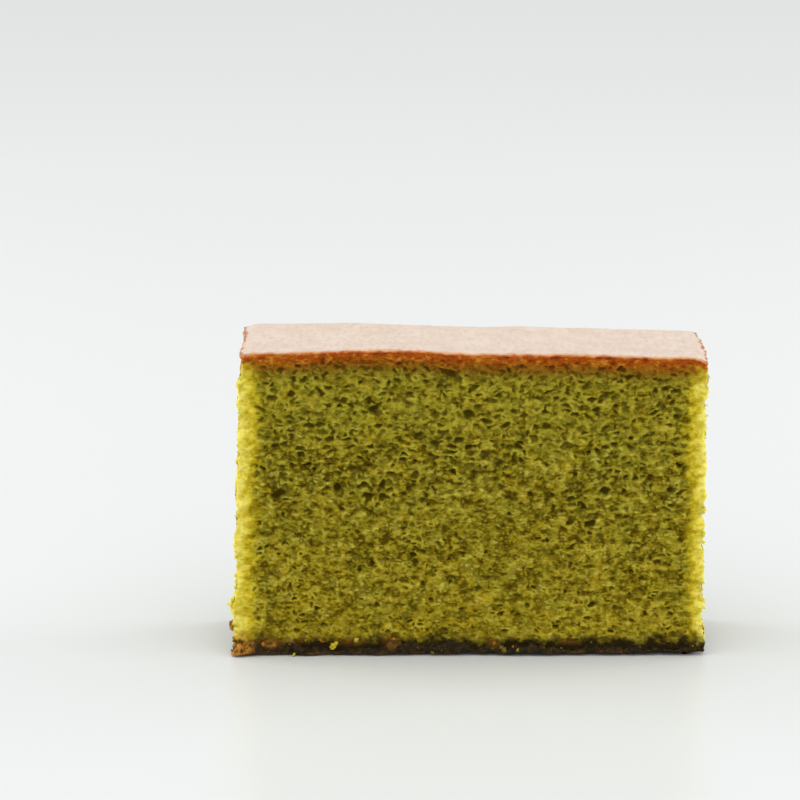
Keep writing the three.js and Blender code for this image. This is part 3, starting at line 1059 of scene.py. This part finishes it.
def base_material(flecks):
    """Burnt sugar base: nearly black brown, with a syrupy lower edge, caramel-coloured lumps
    where clot is 1, and specks of crumb."""
    material, tree = new_material("dark_base")
    place = millimetres(tree)
    clot = attribute(tree, "clot")
    cloud = noise(place, 0.9, detail=4, roughness=0.6)
    edge = sums("ADD", height_of(place), wander(place, 2.6, 2.4))
    black = coated(
        colour(30, 23, 9),
        (remap(cloud, 0.38, 0.68), (62, 47, 17)),
        (remap(edge, 1.0, 0.3, 0.0, 0.7), (104, 66, 24)),
    )
    mottle = remap(noise(place, 1.0, detail=4), 0.38, 0.62)
    sugar = coated(colour(92, 54, 7), (mottle, (190, 128, 34)))
    speck = use_group(flecks, {"Place": place, "Size": 0.7, "Share": 0.14})["Fleck"]
    tone = coated(mix(clot, black, sugar), (times(speck, 0.6), (120, 100, 26)))
    return finished(material, {
        "Base Color": tone,
        "Roughness": blend(clot, remap(cloud, 0.3, 0.7, 0.6, 0.85), 0.4),
        "Specular IOR Level": 0.14,
        "Normal": bump(noise(place, 0.5, detail=3), 0.2, 0.8),
    })


def studio_floor_material():
    """Pale, slightly glossy studio floor."""
    material, tree = new_material("studio_floor")
    cloud = noise(millimetres(tree), 400)
    tone = coated(colour(220, 223, 222), (cloud, (224, 227, 226)))
    return finished(material, {"Base Color": tone, "Roughness": 0.3, "Specular IOR Level": 0.2})


# ---- studio
CAMERA_FROM_FRONT = 865.0  # mm from the front face
CAMERA_HEIGHT = 261.0
CAMERA_SIDE = -15.2
CAMERA_DOWN = 13.31  # degrees
LENS = 189.3
SENSOR = 36.0

FLOOR_HALF = 6.0  # metres, as are the lamps' places and sizes
LAMP_PLACE = (0.9, 0.15, 0.25)  # of the lamp on the right
LAMP_TARGET = (0.05, 0.0, 0.033)
LAMP_SIZE = (0.7, 0.4)
LAMP_POWER = 4.5  # watts
SKY_MIDDLE = (0.0, -0.33, 0.944)  # the way to the brightest part of the sky
SKY_STRENGTH = (0.585, 1.68)  # far from there, and there


def make_camera():
    """The camera stands square to the front face, a little above it and to the left."""
    data = bpy.data.cameras.new("camera")
    data.lens = LENS
    data.sensor_width = SENSOR
    data.clip_start = 0.01
    data.clip_end = 50
    camera = new_object("camera", data)
    camera.location = (CAMERA_SIDE * MM, (FRONT - CAMERA_FROM_FRONT) * MM, CAMERA_HEIGHT * MM)
    camera.rotation_euler = (math.radians(90 - CAMERA_DOWN), 0, 0)
    bpy.context.scene.camera = camera


def make_lamp(name, side):
    """A soft lamp low down on one side, which faces the slice's end on that side."""
    data = bpy.data.lights.new(name, "AREA")
    data.shape = "RECTANGLE"
    data.size, data.size_y = LAMP_SIZE
    data.energy = LAMP_POWER
    lamp = new_object(name, data)
    mirror = np.array([side, 1, 1])
    lamp.location = LAMP_PLACE * mirror
    away = (np.array(LAMP_PLACE) - np.array(LAMP_TARGET)) * mirror
    level = math.hypot(away[0], away[1])
    lamp.rotation_euler = (math.atan2(level, away[2]), 0, math.atan2(away[0], -away[1]))


def make_studio():
    """Pale floor, white surroundings that are brightest above, and a lamp on each side."""
    floor = bpy.data.meshes.new("floor")
    signs = ((-1, -1), (1, -1), (1, 1), (-1, 1))
    floor.from_pydata([(x * FLOOR_HALF, y * FLOOR_HALF, 0) for x, y in signs], [], [(0, 1, 2, 3)])
    floor.materials.append(studio_floor_material())
    stage = new_object("floor", floor)

    world = bpy.data.worlds.new("studio")
    world.use_nodes = True
    sky = world.node_tree
    way = sky.nodes.new("ShaderNodeTexCoord").outputs["Generated"]
    towards = put("ShaderNodeVectorMath", {0: way, 1: SKY_MIDDLE}, operation="DOT_PRODUCT")
    strength = remap(towards.outputs["Value"], 0.5, 0.98, *SKY_STRENGTH)
    sky.nodes["Background"].inputs["Color"].default_value = (1, 1, 1, 1)
    sky.links.new(strength, sky.nodes["Background"].inputs["Strength"])
    bpy.context.scene.world = world
    make_lamp("left_lamp", -1)
    make_lamp("right_lamp", 1)
    bpy.context.scene.view_settings.view_transform = "Standard"


# ---- putting it together
def place_on_frame(piece, material):
    """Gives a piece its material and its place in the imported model."""
    piece.data.materials.clear()
    piece.data.materials.append(material)
    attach(piece, "root")
    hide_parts(NODE)


make_camera()
make_studio()
crust = crust_group()
flecks = flecks_group()
crumb = crumb_material(crumb_net_group(), crust)
sugar = base_material(flecks)
place_on_frame(make_sponge(), crumb)
place_on_frame(make_top_skin(), skin_material(flecks, crust))
place_on_frame(make_dark_base(), sugar)
place_on_frame(make_sugar_lumps(), sugar)
place_on_frame(make_loose_crumbs(), crumb)
